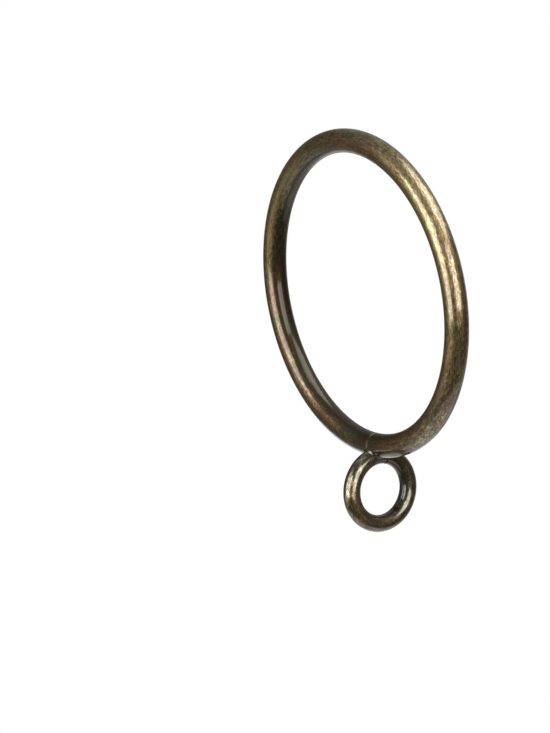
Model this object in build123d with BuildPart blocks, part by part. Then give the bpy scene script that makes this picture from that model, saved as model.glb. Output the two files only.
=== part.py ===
from build123d import *
from math import acos, degrees
import os

# An eyelet curtain ring: a ring of round wire with a small eyelet of thinner wire welded under it.
# The curtain rod runs along X through the ring, and the curtain's hook hangs in the eyelet.
# The origin is the ring's centre and Z is up. The ring stands in the YZ plane.
# The eyelet stands square to it, in the XZ plane, so that its hole looks along Y.
# Sizes are in millimetres and angles in degrees.

# Ring: one length of wire, bent until its cut ends meet at the bottom
ring_inside_diameter = 38.0
ring_wire_diameter = 3.2
ring_end_gap = 0.08
ring_end_chamfer = 0.15

# Eyelet: thinner wire, with its cut ends beside its top, towards +X
# The saddle's edge on the eyelet's outside reaches past the middle of the seam by the seam cover
eyelet_inside_diameter = 7.0
eyelet_wire_diameter = 2.3
eyelet_end_gap = 0.1
eyelet_end_chamfer = 0.15
eyelet_seam_cover = 0.1033

# Weld: how far the eyelet is pressed into the ring, and the bead that fills the corner round it
weld_set_down = 1.25
weld_leg = 0.4
weld_toe = 0.1

# Centre lines of the two wires
ring_wire_radius = ring_wire_diameter / 2
ring_mean_radius = ring_inside_diameter / 2 + ring_wire_radius
eyelet_wire_radius = eyelet_wire_diameter / 2
eyelet_mean_radius = eyelet_inside_diameter / 2 + eyelet_wire_radius
ring_bottom = -(ring_mean_radius + ring_wire_radius)
eyelet_top = ring_bottom + weld_set_down
eyelet_centre = (0, 0, eyelet_top - eyelet_wire_radius - eyelet_mean_radius)
eyelet_outer_radius = eyelet_mean_radius + eyelet_wire_radius

# The saddle's edge, where the ring's wire meets the eyelet's outside, as an angle from the eyelet's top
centres_apart = eyelet_outer_radius + ring_wire_radius - weld_set_down
saddle_sides = eyelet_outer_radius**2 + centres_apart**2 - ring_wire_radius**2
saddle_angle = acos(saddle_sides / (2 * eyelet_outer_radius * centres_apart))
eyelet_seam_angle = degrees(saddle_angle - eyelet_seam_cover / eyelet_outer_radius)

# The plane of each loop: z along its axis, x from its centre to the place where the cut ends meet
ring_loop = Plane((0, 0, 0), x_dir=(0, 0, -1), z_dir=(1, 0, 0))
eyelet_upright = Plane(eyelet_centre, x_dir=(0, 0, 1), z_dir=(0, 1, 0))
eyelet_loop = eyelet_upright.moved(Rotation(0, 0, eyelet_seam_angle))

# The same loops begun half a turn away, for whole turns of wire with no break at the weld
ring_from_top = ring_loop.moved(Rotation(0, 0, 180))
eyelet_from_bottom = eyelet_upright.moved(Rotation(0, 0, 180))


def wire_turn(loop, mean_radius, wire_radius, gap=0, mode=Mode.ADD):
    """A turn of round wire about the loop's axis, begun at the loop's x and open there by the gap."""
    gap_angle = degrees(gap / mean_radius)
    begin = loop.moved(Rotation(0, 0, gap_angle / 2))
    with BuildSketch(Plane(begin.origin, x_dir=-begin.x_dir, z_dir=begin.y_dir)) as section:
        with Locations((-mean_radius, 0)):
            Circle(wire_radius)
    revolve(
        section.sketch,
        axis=Axis(loop.origin, loop.z_dir),
        revolution_arc=360 - gap_angle,
        mode=mode,
    )


# The ring, with the edges of its cut ends broken, so that the seam shows as a fine groove
with BuildPart() as ring:
    wire_turn(ring_loop, ring_mean_radius, ring_wire_radius, ring_end_gap)
    chamfer(ring.faces().filter_by(GeomType.PLANE).edges(), ring_end_chamfer)

# The eyelet, hollowed at its top to a saddle that seats on the ring's wire, across the ring's seam
with BuildPart() as eyelet:
    wire_turn(eyelet_loop, eyelet_mean_radius, eyelet_wire_radius, eyelet_end_gap)
    chamfer(eyelet.faces().filter_by(GeomType.PLANE).edges(), eyelet_end_chamfer)
    wire_turn(ring_from_top, ring_mean_radius, ring_wire_radius, mode=Mode.SUBTRACT)

# The bead: what lies within the weld's leg of both wires, with a flat face, less the wires
with BuildPart() as weld_bead:
    wire_turn(ring_from_top, ring_mean_radius, ring_wire_radius + weld_leg)
    wire_turn(eyelet_from_bottom, eyelet_mean_radius, eyelet_wire_radius + weld_leg, mode=Mode.INTERSECT)
    chamfer(weld_bead.edges(), weld_leg - weld_toe)
    wire_turn(ring_from_top, ring_mean_radius, ring_wire_radius, mode=Mode.SUBTRACT)
    wire_turn(eyelet_from_bottom, eyelet_mean_radius, eyelet_wire_radius, mode=Mode.SUBTRACT)

os.makedirs("parts", exist_ok=True)
ring.part.label = "ring"
export_step(ring.part, "parts/ring.step")
eyelet.part.label = "eyelet"
export_step(eyelet.part, "parts/eyelet.step")
weld_bead.part.label = "weld_bead"
export_step(weld_bead.part, "parts/weld_bead.step")
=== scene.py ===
import math

import bpy
from mathutils import Matrix, Vector, noise


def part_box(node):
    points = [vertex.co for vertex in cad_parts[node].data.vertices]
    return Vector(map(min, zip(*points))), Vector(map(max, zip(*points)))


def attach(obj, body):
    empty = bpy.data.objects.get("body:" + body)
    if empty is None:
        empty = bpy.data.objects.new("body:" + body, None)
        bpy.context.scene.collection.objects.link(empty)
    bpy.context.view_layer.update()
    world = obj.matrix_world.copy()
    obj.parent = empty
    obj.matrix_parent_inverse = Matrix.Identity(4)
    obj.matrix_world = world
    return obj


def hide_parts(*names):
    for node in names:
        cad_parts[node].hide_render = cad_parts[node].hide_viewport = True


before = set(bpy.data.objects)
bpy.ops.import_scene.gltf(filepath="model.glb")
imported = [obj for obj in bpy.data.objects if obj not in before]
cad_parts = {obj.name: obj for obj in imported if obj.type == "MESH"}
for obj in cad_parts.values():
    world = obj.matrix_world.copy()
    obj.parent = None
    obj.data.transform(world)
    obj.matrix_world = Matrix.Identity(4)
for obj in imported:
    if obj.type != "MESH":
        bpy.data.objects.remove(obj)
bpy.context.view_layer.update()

# An eyelet curtain ring in antique brass: a ring of round wire, a small eyelet of thinner wire under it,
# and the weld that joins them. Lengths are in metres unless a name ends in _mm. The ring stands in the YZ
# plane about the origin, and the eyelet stands in the XZ plane.

MM = 0.001

# Wire sizes, read from the solids
ring_low, ring_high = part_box("ring")
ring_wire_radius = (ring_high.x - ring_low.x) / 2
ring_loop_radius = (ring_high.y - ring_low.y) / 2 - ring_wire_radius
eyelet_low, eyelet_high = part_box("eyelet")
eyelet_wire_radius = (eyelet_high.y - eyelet_low.y) / 2
eyelet_loop_radius = min(eyelet_high.x, -eyelet_low.x) - eyelet_wire_radius
eyelet_centre = Vector((0, 0, eyelet_low.z + eyelet_wire_radius + eyelet_loop_radius))

# Seams: the ring's cut ends meet at its bottom, the eyelet's just beside its top, towards +X
ring_end_gap = 0.08 * MM
eyelet_end_gap = 0.10 * MM
end_chamfer = 0.15 * MM
eyelet_seam_angle = math.radians(14)

# Weld bead: its longest leg along each wire, and how much of the leg comes and goes, over what length
bead_leg = 0.40 * MM
bead_unevenness = 0.35
bead_swell = 0.90 * MM

# How far the bead's face bows out of the corner, in legs, and how far its toes and root sink into the wires
bead_throat = 0.22
bead_sink = 0.03 * MM

# The bead's lumps: their size and their height in legs, and how many times finer and lower the small ones are
bead_lump = 0.45 * MM
bead_lump_height = 0.12
small_lump_fineness = 2.3
small_lump_height = 0.5

# Meshes: steps along and round each wire, and round and across the bead
ring_steps = (720, 64)
eyelet_steps = (176, 56)
bead_steps = (180, 12)

# How often the corner between the wires is tried for, and the angle from which an edge stays crisp
corner_tries = 60
crease_angle = math.radians(35)


# Node trees

def feed(tree, made, inputs):
    """Sets each given input of a node to a value, or joins it to a socket."""
    for place, value in inputs.items():
        if isinstance(value, bpy.types.NodeSocket):
            tree.links.new(value, made.inputs[place])
        else:
            made.inputs[place].default_value = value


def node(tree, kind, inputs=None, **settings):
    """A new node with its settings, fed with the given inputs."""
    made = tree.nodes.new(kind)
    for name, value in settings.items():
        setattr(made, name, value)
    feed(tree, made, inputs or {})
    return made


def maths(tree, operation, *values):
    """The answer of one sum on numbers."""
    return node(tree, "ShaderNodeMath", dict(enumerate(values)), operation=operation).outputs[0]


def vectors(tree, operation, *values):
    """The vector that one sum on vectors gives."""
    return node(tree, "ShaderNodeVectorMath", dict(enumerate(values)), operation=operation).outputs[0]


def scaled(tree, vector, factor):
    """A vector, made longer or shorter."""
    inputs = {"Vector": vector, "Scale": factor}
    return node(tree, "ShaderNodeVectorMath", inputs, operation="SCALE").outputs[0]


def begin_shape_tree(name, inputs):
    """An empty geometry tree with these named inputs, and the sockets that bring them in."""
    tree = bpy.data.node_groups.new(name, "GeometryNodeTree")
    for label, kind in inputs.items():
        tree.interface.new_socket(label, in_out="INPUT", socket_type=kind)
    tree.interface.new_socket("Geometry", in_out="OUTPUT", socket_type="NodeSocketGeometry")
    return tree, tree.nodes.new("NodeGroupInput").outputs


def end_shape_tree(tree, shape, finish):
    """Hands out a geometry tree's shape as plain mesh in this finish."""
    real = node(tree, "GeometryNodeRealizeInstances", {"Geometry": shape})
    finished = node(tree, "GeometryNodeSetMaterial", {"Geometry": real.outputs[0], "Material": finish})
    tree.links.new(finished.outputs[0], tree.nodes.new("NodeGroupOutput").inputs[0])


def mark_points(tree, shape, name, kind, value):
    """A shape whose points carry a named value."""
    inputs = {"Geometry": shape, "Name": name, "Value": value}
    return node(tree, "GeometryNodeStoreNamedAttribute", inputs, data_type=kind, domain="POINT").outputs[0]


def bent_wire_tree():
    """A turn of round wire, open at its seam, with the edges of its cut ends broken.

    It keeps two attributes in millimetres. wire_place is each point's place on the wire before bending:
    x along it, y across it and z out of the bend. from_cut is how far along the wire the nearest cut end is.
    """
    tree, given = begin_shape_tree("bent_wire", {
        "Centre": "NodeSocketVector",
        "Towards Seam": "NodeSocketVector",
        "Sideways": "NodeSocketVector",
        "Loop Radius": "NodeSocketFloat",
        "Wire Radius": "NodeSocketFloat",
        "End Gap": "NodeSocketFloat",
        "End Chamfer": "NodeSocketFloat",
        "Steps Along": "NodeSocketInt",
        "Steps Round": "NodeSocketInt",
        "Finish": "NodeSocketMaterial",
    })

    # How far along the wire each step lies: the first and last are the cut ends, and the chamfers come next
    length = maths(tree, "MULTIPLY", given["Loop Radius"], math.tau)
    begin = maths(tree, "MULTIPLY", given["End Gap"], 0.5)
    end = maths(tree, "SUBTRACT", length, begin)
    step = tree.nodes.new("GeometryNodeInputIndex").outputs[0]
    spread = node(tree, "ShaderNodeMapRange", {
        "Value": step,
        "From Min": 1,
        "From Max": maths(tree, "SUBTRACT", given["Steps Along"], 2),
        "To Min": maths(tree, "ADD", begin, given["End Chamfer"]),
        "To Max": maths(tree, "SUBTRACT", end, given["End Chamfer"]),
    }, clamp=False).outputs[0]
    along = maths(tree, "MINIMUM", maths(tree, "MAXIMUM", spread, begin), end)
    from_begin = maths(tree, "SUBTRACT", along, begin)
    from_cut = maths(tree, "MINIMUM", from_begin, maths(tree, "SUBTRACT", end, along))
    cut_back = maths(tree, "MAXIMUM", maths(tree, "SUBTRACT", given["End Chamfer"], from_cut), 0)
    thickness = maths(tree, "SUBTRACT", 1, maths(tree, "DIVIDE", cut_back, given["Wire Radius"]))

    # The bent path
    line = node(tree, "GeometryNodeCurvePrimitiveLine", {"End": (1, 0, 0)})
    path = node(tree, "GeometryNodeResampleCurve", {
        "Curve": line.outputs[0],
        "Count": given["Steps Along"],
    })
    kept = node(tree, "GeometryNodeCaptureAttribute", {"Geometry": path.outputs[0]})
    for label, value in (("along", along), ("from_cut", from_cut), ("thickness", thickness)):
        kept.capture_items.new("FLOAT", label)
        tree.links.new(value, kept.inputs[label])
    angle = maths(tree, "DIVIDE", kept.outputs["along"], given["Loop Radius"])
    outward = vectors(
        tree, "ADD",
        scaled(tree, given["Towards Seam"], maths(tree, "COSINE", angle)),
        scaled(tree, given["Sideways"], maths(tree, "SINE", angle)),
    )
    place = vectors(tree, "ADD", given["Centre"], scaled(tree, outward, given["Loop Radius"]))
    bent = node(tree, "GeometryNodeSetPosition", {"Geometry": kept.outputs[0], "Position": place})
    bent = node(tree, "GeometryNodeSetCurveNormal", {
        "Curve": bent.outputs[0],
        "Normal": vectors(tree, "CROSS_PRODUCT", given["Towards Seam"], given["Sideways"]),
    }, mode="FREE")

    # The round of the wire, swept along it
    section = node(tree, "GeometryNodeCurvePrimitiveCircle", {
        "Resolution": given["Steps Round"],
        "Radius": given["Wire Radius"],
    })
    round_kept = node(tree, "GeometryNodeCaptureAttribute", {"Geometry": section.outputs[0]})
    round_kept.capture_items.new("VECTOR", "across")
    tree.links.new(tree.nodes.new("GeometryNodeInputPosition").outputs[0], round_kept.inputs["across"])
    wire = node(tree, "GeometryNodeCurveToMesh", {
        "Curve": bent.outputs[0],
        "Profile Curve": round_kept.outputs[0],
        "Scale": kept.outputs["thickness"],
        "Fill Caps": True,
    })
    across = node(tree, "ShaderNodeSeparateXYZ", {0: round_kept.outputs["across"]})
    straight = node(tree, "ShaderNodeCombineXYZ", {
        "X": kept.outputs["along"],
        "Y": across.outputs["X"],
        "Z": across.outputs["Y"],
    })
    wire_place = scaled(tree, straight.outputs[0], 1 / MM)
    from_cut_mm = maths(tree, "DIVIDE", kept.outputs["from_cut"], MM)
    marked = mark_points(tree, wire.outputs[0], "wire_place", "FLOAT_VECTOR", wire_place)
    marked = mark_points(tree, marked, "from_cut", "FLOAT", from_cut_mm)
    end_shape_tree(tree, marked, given["Finish"])
    return tree


def saddle_tree():
    """Hollows a piece where the ring's wire runs through it, so that it seats round the wire."""
    tree, given = begin_shape_tree("saddle_for_ring", {
        "Geometry": "NodeSocketGeometry",
        "Loop Radius": "NodeSocketFloat",
        "Wire Radius": "NodeSocketFloat",
        "Finish": "NodeSocketMaterial",
    })
    here = tree.nodes.new("GeometryNodeInputPosition").outputs[0]
    in_ring_plane = vectors(tree, "MULTIPLY", here, (0, 1, 1))
    middle = scaled(tree, vectors(tree, "NORMALIZE", in_ring_plane), given["Loop Radius"])
    from_middle = vectors(tree, "SUBTRACT", here, middle)
    depth = node(tree, "ShaderNodeVectorMath", {0: from_middle}, operation="LENGTH").outputs["Value"]
    way_out = vectors(tree, "NORMALIZE", from_middle)
    seated = node(tree, "GeometryNodeSetPosition", {
        "Geometry": given["Geometry"],
        "Selection": maths(tree, "LESS_THAN", depth, given["Wire Radius"]),
        "Position": vectors(tree, "ADD", middle, scaled(tree, way_out, given["Wire Radius"])),
    })
    end_shape_tree(tree, seated.outputs[0], given["Finish"])
    return tree


# Pieces

def soften(mesh):
    """Smooth shading, with the edges of the cut ends kept crisp."""
    mesh.shade_smooth()
    mesh.set_sharp_from_angle(angle=crease_angle)


def shape_piece(name, *steps):
    """A plain mesh piece, shaped by geometry trees in turn; each step is a tree and its named inputs."""
    piece = bpy.data.objects.new(name, bpy.data.meshes.new(name))
    bpy.context.scene.collection.objects.link(piece)
    for tree, values in steps:
        modifier = piece.modifiers.new(tree.name, "NODES")
        modifier.node_group = tree
        for item in tree.interface.items_tree:
            if item.in_out == "INPUT" and item.name in values:
                modifier[item.identifier] = values[item.name]
    shaped = piece.evaluated_get(bpy.context.evaluated_depsgraph_get())
    mesh = bpy.data.meshes.new_from_object(shaped)
    piece.modifiers.clear()
    piece.data = mesh
    mesh.name = name
    soften(mesh)
    return piece


def skin_of_ring(point):
    """The nearest point on the ring's wire, and the way out of the wire there."""
    middle = Vector((0, point.y, point.z)).normalized() * ring_loop_radius
    way_out = (point - middle).normalized()
    return middle + way_out * ring_wire_radius, way_out


def skin_of_eyelet(point):
    """The nearest point on the eyelet's wire, and the way out of the wire there."""
    from_centre = point - eyelet_centre
    middle = eyelet_centre + Vector((from_centre.x, 0, from_centre.z)).normalized() * eyelet_loop_radius
    way_out = (point - middle).normalized()
    return middle + way_out * eyelet_wire_radius, way_out


def corner_between_wires(turn):
    """The point of the corner where the two wires meet, at this turn about the vertical."""
    point = Vector((
        ring_wire_radius * math.cos(turn),
        eyelet_wire_radius * math.sin(turn),
        eyelet_centre.z + eyelet_loop_radius,
    ))
    for _ in range(corner_tries):
        point, _ = skin_of_eyelet(point)
        point, _ = skin_of_ring(point)
    return point


def bead_section(turn, across):
    """Points round the bead at this turn about the vertical: across its face, toe to toe, and its root."""
    corner = corner_between_wires(turn)
    _, from_ring = skin_of_ring(corner)
    _, from_eyelet = skin_of_eyelet(corner)
    along = from_ring.cross(from_eyelet).normalized()
    up_ring = along.cross(from_ring)
    up_ring *= math.copysign(1, up_ring.dot(from_eyelet))
    down_eyelet = along.cross(from_eyelet)
    down_eyelet *= math.copysign(1, down_eyelet.dot(from_ring))
    swell = noise.noise(corner / bead_swell)
    leg = bead_leg * (1 - bead_unevenness * (0.5 + 0.5 * swell))
    toe_on_ring, _ = skin_of_ring(corner + up_ring * leg)
    toe_on_eyelet, _ = skin_of_eyelet(corner + down_eyelet * leg)
    toe_on_ring -= from_ring * bead_sink
    toe_on_eyelet -= from_eyelet * bead_sink
    throat = corner + (up_ring + down_eyelet) * leg * bead_throat
    way_out = (from_ring + from_eyelet).normalized()
    points = []
    for j in range(across):
        t = j / (across - 1)
        point = toe_on_ring * (1 - t) ** 2 + throat * 2 * t * (1 - t) + toe_on_eyelet * t ** 2
        small_lump = noise.noise(point / bead_lump * small_lump_fineness)
        lump = noise.noise(point / bead_lump) + small_lump_height * small_lump
        points.append(point + way_out * lump * bead_lump_height * leg * math.sin(math.pi * t))
    points.append(corner - (from_ring + from_eyelet) * bead_sink)
    return points


def make_weld_bead(finish):
    """The bead in the corner between the wires: hollow across, uneven along, and a little lumpy."""
    around, across = bead_steps
    points = []
    faces = []
    for i in range(around):
        section = bead_section(math.tau * i / around, across)
        this = i * len(section)
        following = (i + 1) % around * len(section)
        points.extend(section)
        for j in range(len(section)):
            beside = (j + 1) % len(section)
            faces.append((this + j, this + beside, following + beside, following + j))
    mesh = bpy.data.meshes.new("weld_bead")
    mesh.from_pydata(points, [], faces)
    mesh.materials.append(finish)
    mesh.validate()
    soften(mesh)
    piece = bpy.data.objects.new("bead_of_weld", mesh)
    bpy.context.scene.collection.objects.link(piece)
    return piece


# Finishes

# The looks of the two wires.
# Patina runs from olive to red, film is patina rubbed thin, and gold is bare brass. The colour scorched is
# the dark of the weld's heat, and inside the bend it is also unrubbed patina and painted shade, where
# dark_and_shade_inside is its share. Rubbing goes from the first to the second of rubbed between the two
# shares of a turn in rubbed_from;
# on the ring's far side it is less, which is partly painted shade.
# Coarseness is the size of the strokes, and contrast how strongly they show near the weld and far from it.
# Dull and bright are the roughness of patina and of gold, and lacquer_inside is the share of lacquer on the
# inside of the bend. The pattern of tones begins at tone_start.
ring_look = {
    "olive": (0.076, 0.066, 0.024),
    "red": (0.128, 0.066, 0.030),
    "olive_film": (0.270, 0.210, 0.083),
    "red_film": (0.286, 0.196, 0.088),
    "gold": (0.78, 0.63, 0.335),
    "heat_and_shade_dark": (0.036, 0.025, 0.011),
    "rubbed_from": (0.30, 0.55),
    "rubbing_and_shade": (-0.015, 0.02),
    "coarseness": 1.0,
    "contrast": (1.45, 0.85),
    "lacquer_inside": 0.5,
    "dark_and_shade_inside": 0.9,
    "dull": 0.43,
    "bright": 0.34,
    "lacquer_ior": 1.8,
    "tone_start": 43.8,
}
eyelet_look = {
    "olive": (0.032, 0.033, 0.019),
    "red": (0.095, 0.052, 0.029),
    "olive_film": (0.150, 0.137, 0.066),
    "red_film": (0.186, 0.129, 0.068),
    "gold": (0.80, 0.68, 0.40),
    "heat_and_shade_dark": (0.030, 0.024, 0.015),
    "rubbed_from": (0.45, 0.72),
    "rubbing_and_shade": (0.047, 0.096),
    "coarseness": 1.5,
    "contrast": (1.05, 1.05),
    "lacquer_inside": 0.85,
    "dark_and_shade_inside": 0.6,
    "dull": 0.37,
    "bright": 0.28,
    "lacquer_ior": 1.9,
    "tone_start": 66.4,
}

# Grains of the finishes, and the shares of three of them in the wear
grain_roughness = 0.55
stroke_grain = {"size_mm": 0.24, "detail": 3, "stretch": 2.8}
speck_grain = {"size_mm": 0.14, "detail": 2, "stretch": 1.5}
patch_grain = {"size_mm": 1.3, "detail": 2, "stretch": 2.5}
tone_grain = {"size_mm": 2.4, "detail": 3, "stretch": 2.2}
weld_grain = {"size_mm": 0.35, "detail": 4}
stroke_share = 0.50
speck_share = 0.30
patch_share = 0.20
even_wear = 0.5

# Where the wear changes on both wires: two places, then the values up to the first and from the second on.
# Outward places are 1 outside the bend and -1 inside it, and those in millimetres are from the cut ends.
roughened_outward = (-0.2, 0.95, 0.65, 1.25)
contrast_mm = (10, 28)
wear_near_weld_mm = (1, 18, -0.045, 0)
wear_up_sides_mm = (28, 46, -0.045, 0.02)
# Darker towards the top of the ring.
darker_at_top_mm = (47, 62, 0, -0.085)
# Less wear inside the bend, which is partly painted shade.
wear_and_shade_outward = (-1.0, -0.5, -0.08, 0)

# Colours by wear, the dark places (partly painted shade) and the pale worn edges (partly a painted
# highlight), in the same way
red_by_tone = (0.42, 0.56)
film_by_wear = (0.42, 0.51)
gold_by_wear = (0.50, 0.70)
# The dark inside the bend, from these ramps, is unrubbed patina and partly painted shade.
dark_outward = (-1.0, -0.35)
dark_by_wear = (0.36, 0.50, 1.0, 0.3)
scorched_mm = (1.0, 4.5, 0.6, 0)
# Pale cut edges: steel worn through, and partly a painted highlight along the seam.
worn_and_highlit_edge_mm = (0.10, 0.20, 0.5, 0)
worn_and_highlit_edge_outward = (-0.6, 0.2)
worn_and_highlit_edge_colour = (0.46, 0.42, 0.34)

# Sheen of the wires: roughness by wear, pits, and lacquer
sheen_by_wear = (0.40, 0.62)
pit_depth = 0.03 * MM
speck_pits = 0.5
lacquer_outward = (-1.0, 0.2)
lacquer_roughness = 0.11

# The weld metal: two colours and its roughness by its lumps, its pits, and its lacquer
weld_dark = (0.055, 0.040, 0.022)
weld_pale = (0.30, 0.22, 0.11)
weld_pale_by_lump = (0.50, 0.75)
weld_sheen_by_lump = (0.40, 0.70, 0.62, 0.42)
weld_pit_depth = 0.05 * MM
weld_pit_strength = 0.6
weld_lacquer_roughness = 0.15
weld_lacquer_ior = 1.8

# The colour sockets of a mix node: its two inputs and its output
mix_first = 6
mix_second = 7
mix_result = 2


def new_finish(name):
    """A material, its tree, and its main shader."""
    finish = bpy.data.materials.new(name)
    finish.use_nodes = True
    tree = finish.node_tree
    return finish, tree, tree.nodes["Principled BSDF"]


def grain(tree, place, size_mm, detail, stretch=1.0, coarseness=1.0, start=0.0):
    """Noise of this size across the wire, drawn out along it by the stretch and begun at the start."""
    laid = node(tree, "ShaderNodeMapping", {
        "Vector": place,
        "Scale": (1 / stretch, 1, 1),
        "Location": (start, 0, 0),
    })
    return node(tree, "ShaderNodeTexNoise", {
        "Vector": laid.outputs[0],
        "Scale": 1 / (size_mm * coarseness),
        "Detail": detail,
        "Roughness": grain_roughness,
    }).outputs[0]


def ramp(tree, value, low, high, to_low=0.0, to_high=1.0):
    """A soft step from one value to another."""
    return node(tree, "ShaderNodeMapRange", {
        "Value": value,
        "From Min": low,
        "From Max": high,
        "To Min": to_low,
        "To Max": to_high,
    }, interpolation_type="SMOOTHSTEP").outputs[0]


def blend_colours(tree, share, first, second):
    """Two colours, mixed by a share of the second."""
    mixed = node(tree, "ShaderNodeMix", {"Factor": share}, data_type="RGBA")
    for place, colour in ((mix_first, first), (mix_second, second)):
        if not isinstance(colour, bpy.types.NodeSocket):
            colour = (*colour, 1)
        feed(tree, mixed, {place: colour})
    return mixed.outputs[mix_result]


def pitted(tree, height, strength, depth):
    """The lie of a surface with pits as deep as this."""
    return node(tree, "ShaderNodeBump", {
        "Height": height,
        "Strength": strength,
        "Distance": depth,
    }).outputs[0]


def antique_brass(name, loop_radius, wire_radius, look):
    """Brass plating under dark patina and clear lacquer, rubbed back to gold in fine strokes.

    The outside of the bend is rubbed and roughened most, and the inside is left dark, with less lacquer; that
    dark is partly painted shade, as is the ring's darker far side, and the pale cut edges are partly a
    painted highlight. The weld's heat has darkened the wire near its cut ends, and the strokes change their
    contrast further on.
    """
    finish, tree, shader = new_finish(name)
    place = node(tree, "ShaderNodeAttribute", attribute_name="wire_place").outputs["Vector"]
    from_cut = node(tree, "ShaderNodeAttribute", attribute_name="from_cut").outputs["Fac"]
    parted = node(tree, "ShaderNodeSeparateXYZ", {0: place}).outputs
    turned = maths(tree, "DIVIDE", parted["X"], math.tau * loop_radius / MM)
    outward = maths(tree, "DIVIDE", parted["Z"], wire_radius / MM)

    # How far the patina is rubbed away
    strokes = grain(tree, place, **stroke_grain, coarseness=look["coarseness"])
    specks = grain(tree, place, **speck_grain, coarseness=look["coarseness"])
    patches = grain(tree, place, **patch_grain)
    wear = maths(tree, "MULTIPLY", strokes, stroke_share)
    wear = maths(tree, "ADD", wear, maths(tree, "MULTIPLY", specks, speck_share))
    wear = maths(tree, "ADD", wear, maths(tree, "MULTIPLY", patches, patch_share))
    roughened = ramp(tree, outward, *roughened_outward)
    contrast = maths(tree, "MULTIPLY", roughened, ramp(tree, from_cut, *contrast_mm, *look["contrast"]))
    wear = maths(tree, "MULTIPLY_ADD", maths(tree, "SUBTRACT", wear, even_wear), contrast, even_wear)
    # Rubbing by turn leaves the ring's far side darker, which is partly painted shade.
    for where, change in (
        (turned, (*look["rubbed_from"], *look["rubbing_and_shade"])),
        (from_cut, wear_near_weld_mm),
        (from_cut, wear_up_sides_mm),
        (from_cut, darker_at_top_mm),
        (outward, wear_and_shade_outward),
    ):
        wear = maths(tree, "ADD", wear, ramp(tree, where, *change))

    # Colour
    tone = grain(tree, place, **tone_grain, start=look["tone_start"])
    redness = ramp(tree, tone, *red_by_tone)
    patina = blend_colours(tree, redness, look["olive"], look["red"])
    film = blend_colours(tree, redness, look["olive_film"], look["red_film"])
    metal = blend_colours(tree, ramp(tree, wear, *film_by_wear), patina, film)
    metal = blend_colours(tree, ramp(tree, wear, *gold_by_wear), metal, look["gold"])
    # The dark inside the bend: unrubbed patina, and partly painted shade.
    inside = ramp(tree, outward, *dark_outward, look["dark_and_shade_inside"], 0)
    unrubbed_and_shaded = maths(tree, "MULTIPLY", inside, ramp(tree, wear, *dark_by_wear))
    # Pale cut edges: steel worn through, and partly a painted highlight along the seam.
    at_edge = ramp(tree, from_cut, *worn_and_highlit_edge_mm)
    worn_and_highlit_edge = maths(tree, "MULTIPLY", at_edge, ramp(tree, outward, *worn_and_highlit_edge_outward))
    metal = blend_colours(tree, unrubbed_and_shaded, metal, look["heat_and_shade_dark"])
    metal = blend_colours(tree, ramp(tree, from_cut, *scorched_mm), metal, look["heat_and_shade_dark"])
    metal = blend_colours(tree, worn_and_highlit_edge, metal, worn_and_highlit_edge_colour)

    # Sheen
    height = maths(tree, "ADD", strokes, maths(tree, "MULTIPLY", specks, speck_pits))
    height = maths(tree, "MULTIPLY", height, roughened)
    feed(tree, shader, {
        "Base Color": metal,
        "Metallic": 1.0,
        "Roughness": ramp(tree, wear, *sheen_by_wear, look["dull"], look["bright"]),
        "Normal": pitted(tree, height, 1.0, pit_depth),
        "Coat Weight": ramp(tree, outward, *lacquer_outward, look["lacquer_inside"], 1),
        "Coat Roughness": lacquer_roughness,
        "Coat IOR": look["lacquer_ior"],
    })
    return finish


def weld_metal():
    """Weld metal under the same patina, rough and left dark."""
    finish, tree, shader = new_finish("dark_weld_metal")
    place = node(tree, "ShaderNodeTexCoord").outputs["Object"]
    lumps = grain(tree, scaled(tree, place, 1 / MM), **weld_grain)
    feed(tree, shader, {
        "Base Color": blend_colours(tree, ramp(tree, lumps, *weld_pale_by_lump), weld_dark, weld_pale),
        "Metallic": 1.0,
        "Roughness": ramp(tree, lumps, *weld_sheen_by_lump),
        "Normal": pitted(tree, lumps, weld_pit_strength, weld_pit_depth),
        "Coat Weight": 1.0,
        "Coat Roughness": weld_lacquer_roughness,
        "Coat IOR": weld_lacquer_ior,
    })
    return finish


# The part

bent_wire = bent_wire_tree()
saddle = saddle_tree()
ring_finish = antique_brass("antique_brass_ring", ring_loop_radius, ring_wire_radius, ring_look)
eyelet_finish = antique_brass("antique_brass_eyelet", eyelet_loop_radius, eyelet_wire_radius, eyelet_look)
bead_finish = weld_metal()

ring = shape_piece("wire_ring", (bent_wire, {
    "Centre": (0, 0, 0),
    "Towards Seam": (0, 0, -1),
    "Sideways": (0, 1, 0),
    "Loop Radius": ring_loop_radius,
    "Wire Radius": ring_wire_radius,
    "End Gap": ring_end_gap,
    "End Chamfer": end_chamfer,
    "Steps Along": ring_steps[0],
    "Steps Round": ring_steps[1],
    "Finish": ring_finish,
}))
eyelet = shape_piece("wire_eyelet", (bent_wire, {
    "Centre": tuple(eyelet_centre),
    "Towards Seam": (math.sin(eyelet_seam_angle), 0, math.cos(eyelet_seam_angle)),
    "Sideways": (math.cos(eyelet_seam_angle), 0, -math.sin(eyelet_seam_angle)),
    "Loop Radius": eyelet_loop_radius,
    "Wire Radius": eyelet_wire_radius,
    "End Gap": eyelet_end_gap,
    "End Chamfer": end_chamfer,
    "Steps Along": eyelet_steps[0],
    "Steps Round": eyelet_steps[1],
    "Finish": eyelet_finish,
}), (saddle, {
    "Loop Radius": ring_loop_radius,
    "Wire Radius": ring_wire_radius,
    "Finish": eyelet_finish,
}))
bead = make_weld_bead(bead_finish)

for piece, cad_node, slot in (
    (ring, "ring", "antique_brass"),
    (eyelet, "eyelet", "antique_brass"),
    (bead, "weld_bead", "weld_metal"),
):
    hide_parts(cad_node)
    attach(piece, "root")


# Studio

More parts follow.
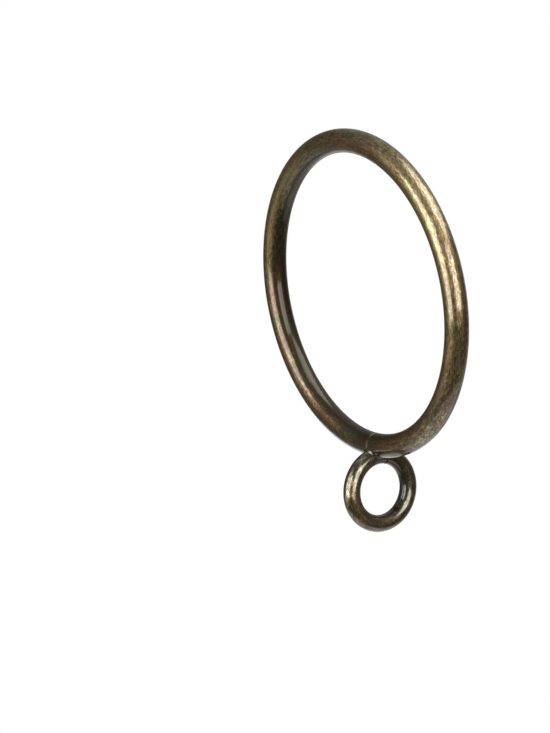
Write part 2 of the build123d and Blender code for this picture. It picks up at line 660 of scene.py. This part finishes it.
# Directions are seen from the ring: azimuth 0 is -Y and 90 is +X, and elevation is above level. Angles are in
# degrees, and levels are in times white.
white = (1, 1, 1, 1)
fill_level = 0.25
lamp_distance = 0.60

# Camera: where it stands, its roll, and where the ring's centre lies from its axis
image_size = (550, 733)
focal_pixels = 3500
sensor_width_mm = 36
nearest_seen = 0.01
camera_azimuth = -33.12
camera_elevation = 11.07
camera_roll = math.radians(5.42)
camera_distance = 465.1 * MM
centre_to_right = 11.64 * MM
centre_down = -9.64 * MM

# Floor: how far it lies under the ring, its size, its finish, and its own glow
floor_depth = 1.00
floor_radius = 1.20
floor_corners = 96
floor_colour = (0.8, 0.8, 0.8, 1)
floor_roughness = 0.8
floor_glow = 0.28

# Tent: its size and steps, its hem, how much lower that hangs in front, and the opening behind the ring
tent_radius = 0.95
tent_steps = (72, 32)
tent_hem = -45
tent_drop = 20
tent_back = camera_azimuth - 170
opening_half_width = 25
opening_top = -24

# The tent's cloth: its two colours, and each dark place's azimuth and elevation, the angle from it within
# which the cloth is dark, and the angle beyond which it is pale
tent_dark = (0.118, 0.102, 0.080)
tent_pale = (0.345, 0.333, 0.315)
tent_dark_places = (
    (camera_azimuth + 15, -35, 35, 110),
    (camera_azimuth - 138, 5, 18, 52),
    (camera_azimuth + 95, -8, 6, 48),
)


def direction(azimuth, elevation):
    """A unit vector from the ring towards this azimuth and elevation."""
    a, e = math.radians(azimuth), math.radians(elevation)
    return Vector((math.sin(a) * math.cos(e), -math.cos(a) * math.cos(e), math.sin(e)))


def rays_that_see(tree):
    """One for rays that show a thing, straight, mirrored or through glass, and none for those that light."""
    rays = tree.nodes.new("ShaderNodeLightPath").outputs
    seen = maths(tree, "MAXIMUM", rays["Is Camera Ray"], rays["Is Glossy Ray"])
    return maths(tree, "MAXIMUM", seen, rays["Is Transmission Ray"])


def white_surroundings():
    """White for the camera and in the metal, and a plain soft fill for everything else."""
    world = bpy.data.worlds.new("studio")
    bpy.context.scene.world = world
    world.use_nodes = True
    tree = world.node_tree
    tree.nodes.clear()
    seen = rays_that_see(tree)
    fill = node(tree, "ShaderNodeBackground", {"Color": white, "Strength": fill_level})
    backdrop = node(tree, "ShaderNodeBackground", {"Color": white, "Strength": 1.0})
    mixed = node(tree, "ShaderNodeMixShader", {0: seen, 1: fill.outputs[0], 2: backdrop.outputs[0]})
    out = tree.nodes.new("ShaderNodeOutputWorld")
    tree.links.new(mixed.outputs[0], out.inputs[0])


def pale_floor():
    """A plain pale floor, well under the hanging ring."""
    finish, tree, shader = new_finish("pale_floor")
    feed(tree, shader, {
        "Base Color": floor_colour,
        "Roughness": floor_roughness,
        "Emission Color": white,
        "Emission Strength": maths(tree, "MULTIPLY", rays_that_see(tree), floor_glow),
    })
    corners = []
    for i in range(floor_corners):
        turn = math.tau * i / floor_corners
        corners.append((floor_radius * math.cos(turn), floor_radius * math.sin(turn), -floor_depth))
    mesh = bpy.data.meshes.new("floor")
    mesh.from_pydata(corners, [], [tuple(range(floor_corners))])
    mesh.materials.append(finish)
    floor = bpy.data.objects.new("floor", mesh)
    bpy.context.scene.collection.objects.link(floor)


def tent_cloth():
    """Cloth that is dark about some directions and pale well away from them."""
    finish = bpy.data.materials.new("tent_cloth")
    finish.use_nodes = True
    tree = finish.node_tree
    tree.nodes.clear()
    place = node(tree, "ShaderNodeTexCoord").outputs["Object"]
    towards = vectors(tree, "NORMALIZE", place)
    shade = 0.0
    for azimuth, elevation, dark_within, pale_beyond in tent_dark_places:
        inputs = {0: towards, 1: direction(azimuth, elevation)}
        nearness = node(tree, "ShaderNodeVectorMath", inputs, operation="DOT_PRODUCT").outputs["Value"]
        pale_at = math.cos(math.radians(pale_beyond))
        dark_at = math.cos(math.radians(dark_within))
        shade = maths(tree, "MAXIMUM", shade, ramp(tree, nearness, pale_at, dark_at))
    glow = node(tree, "ShaderNodeEmission", {"Color": blend_colours(tree, shade, tent_pale, tent_dark)})
    out = tree.nodes.new("ShaderNodeOutputMaterial")
    tree.links.new(glow.outputs[0], out.inputs[0])
    return finish


def dim_tent():
    """Cloth round the studio, open low down behind the ring, which only the metal sees."""
    columns, rows = tent_steps
    points = []
    faces = []
    for i in range(columns):
        hem = tent_hem + tent_drop * min(0, math.cos(math.tau * i / columns))
        for j in range(rows + 1):
            elevation = hem + (90 - hem) * j / rows
            points.append(direction(tent_back + 360 * i / columns, elevation) * tent_radius)
    for i in range(columns):
        for j in range(rows):
            from_back = min(i + 0.5, columns - i - 0.5) * 360 / columns
            elevation = tent_hem + (90 - tent_hem) * (j + 0.5) / rows
            if from_back > opening_half_width or elevation > opening_top:
                this = i * (rows + 1) + j
                following = (i + 1) % columns * (rows + 1) + j
                faces.append((this, this + 1, following + 1, following))
    mesh = bpy.data.meshes.new("dim_tent")
    mesh.from_pydata(points, [], faces)
    mesh.materials.append(tent_cloth())
    tent = bpy.data.objects.new("dim_tent", mesh)
    tent.visible_camera = False
    tent.visible_diffuse = False
    tent.visible_shadow = False
    bpy.context.scene.collection.objects.link(tent)


def softbox(name, azimuth, elevation, width, height, level, only=()):
    """A soft lamp that faces the ring, as wide and high as these angles, for all or only some pieces."""
    lamp = bpy.data.lights.new(name, "AREA")
    lamp.shape = "RECTANGLE"
    lamp.size = 2 * lamp_distance * math.tan(math.radians(width / 2))
    lamp.size_y = 2 * lamp_distance * math.tan(math.radians(height / 2))
    lamp.energy = level * math.pi * lamp.size * lamp.size_y
    box = bpy.data.objects.new(name, lamp)
    towards = direction(azimuth, elevation)
    facing = towards.to_track_quat("Z", "Y").to_matrix().to_4x4()
    box.matrix_world = Matrix.Translation(towards * lamp_distance) @ facing
    box.visible_camera = False
    if only:
        box.light_linking.receiver_collection = bpy.data.collections.new("lit_by_" + name)
        for piece in only:
            box.light_linking.receiver_collection.objects.link(piece)
    bpy.context.scene.collection.objects.link(box)


def photo_camera():
    """A long lens, turned and rolled as the photograph's."""
    lens = bpy.data.cameras.new("camera")
    lens.sensor_width = sensor_width_mm
    lens.lens = sensor_width_mm * focal_pixels / max(image_size)
    lens.clip_start = nearest_seen
    camera = bpy.data.objects.new("camera", lens)
    back = direction(camera_azimuth, camera_elevation)
    level_right = direction(camera_azimuth + 90, 0)
    level_down = level_right.cross(back)
    right = level_right * math.cos(camera_roll) + level_down * math.sin(camera_roll)
    down = level_down * math.cos(camera_roll) - level_right * math.sin(camera_roll)
    stand = back * camera_distance - right * centre_to_right - down * centre_down
    turned = Matrix((right, -down, back)).transposed()
    camera.matrix_world = Matrix.Translation(stand) @ turned.to_4x4()
    bpy.context.scene.collection.objects.link(camera)
    bpy.context.scene.camera = camera


bpy.context.scene.view_settings.view_transform = "Standard"
white_surroundings()
pale_floor()
dim_tent()
softbox("left_softbox", azimuth=-88, elevation=11, width=43, height=48, level=3.5)
softbox("right_softbox", azimuth=-3, elevation=10, width=40, height=40, level=3.35)
softbox("top_softbox", azimuth=46, elevation=57, width=52, height=50, level=2.3, only=[ring])
photo_camera()
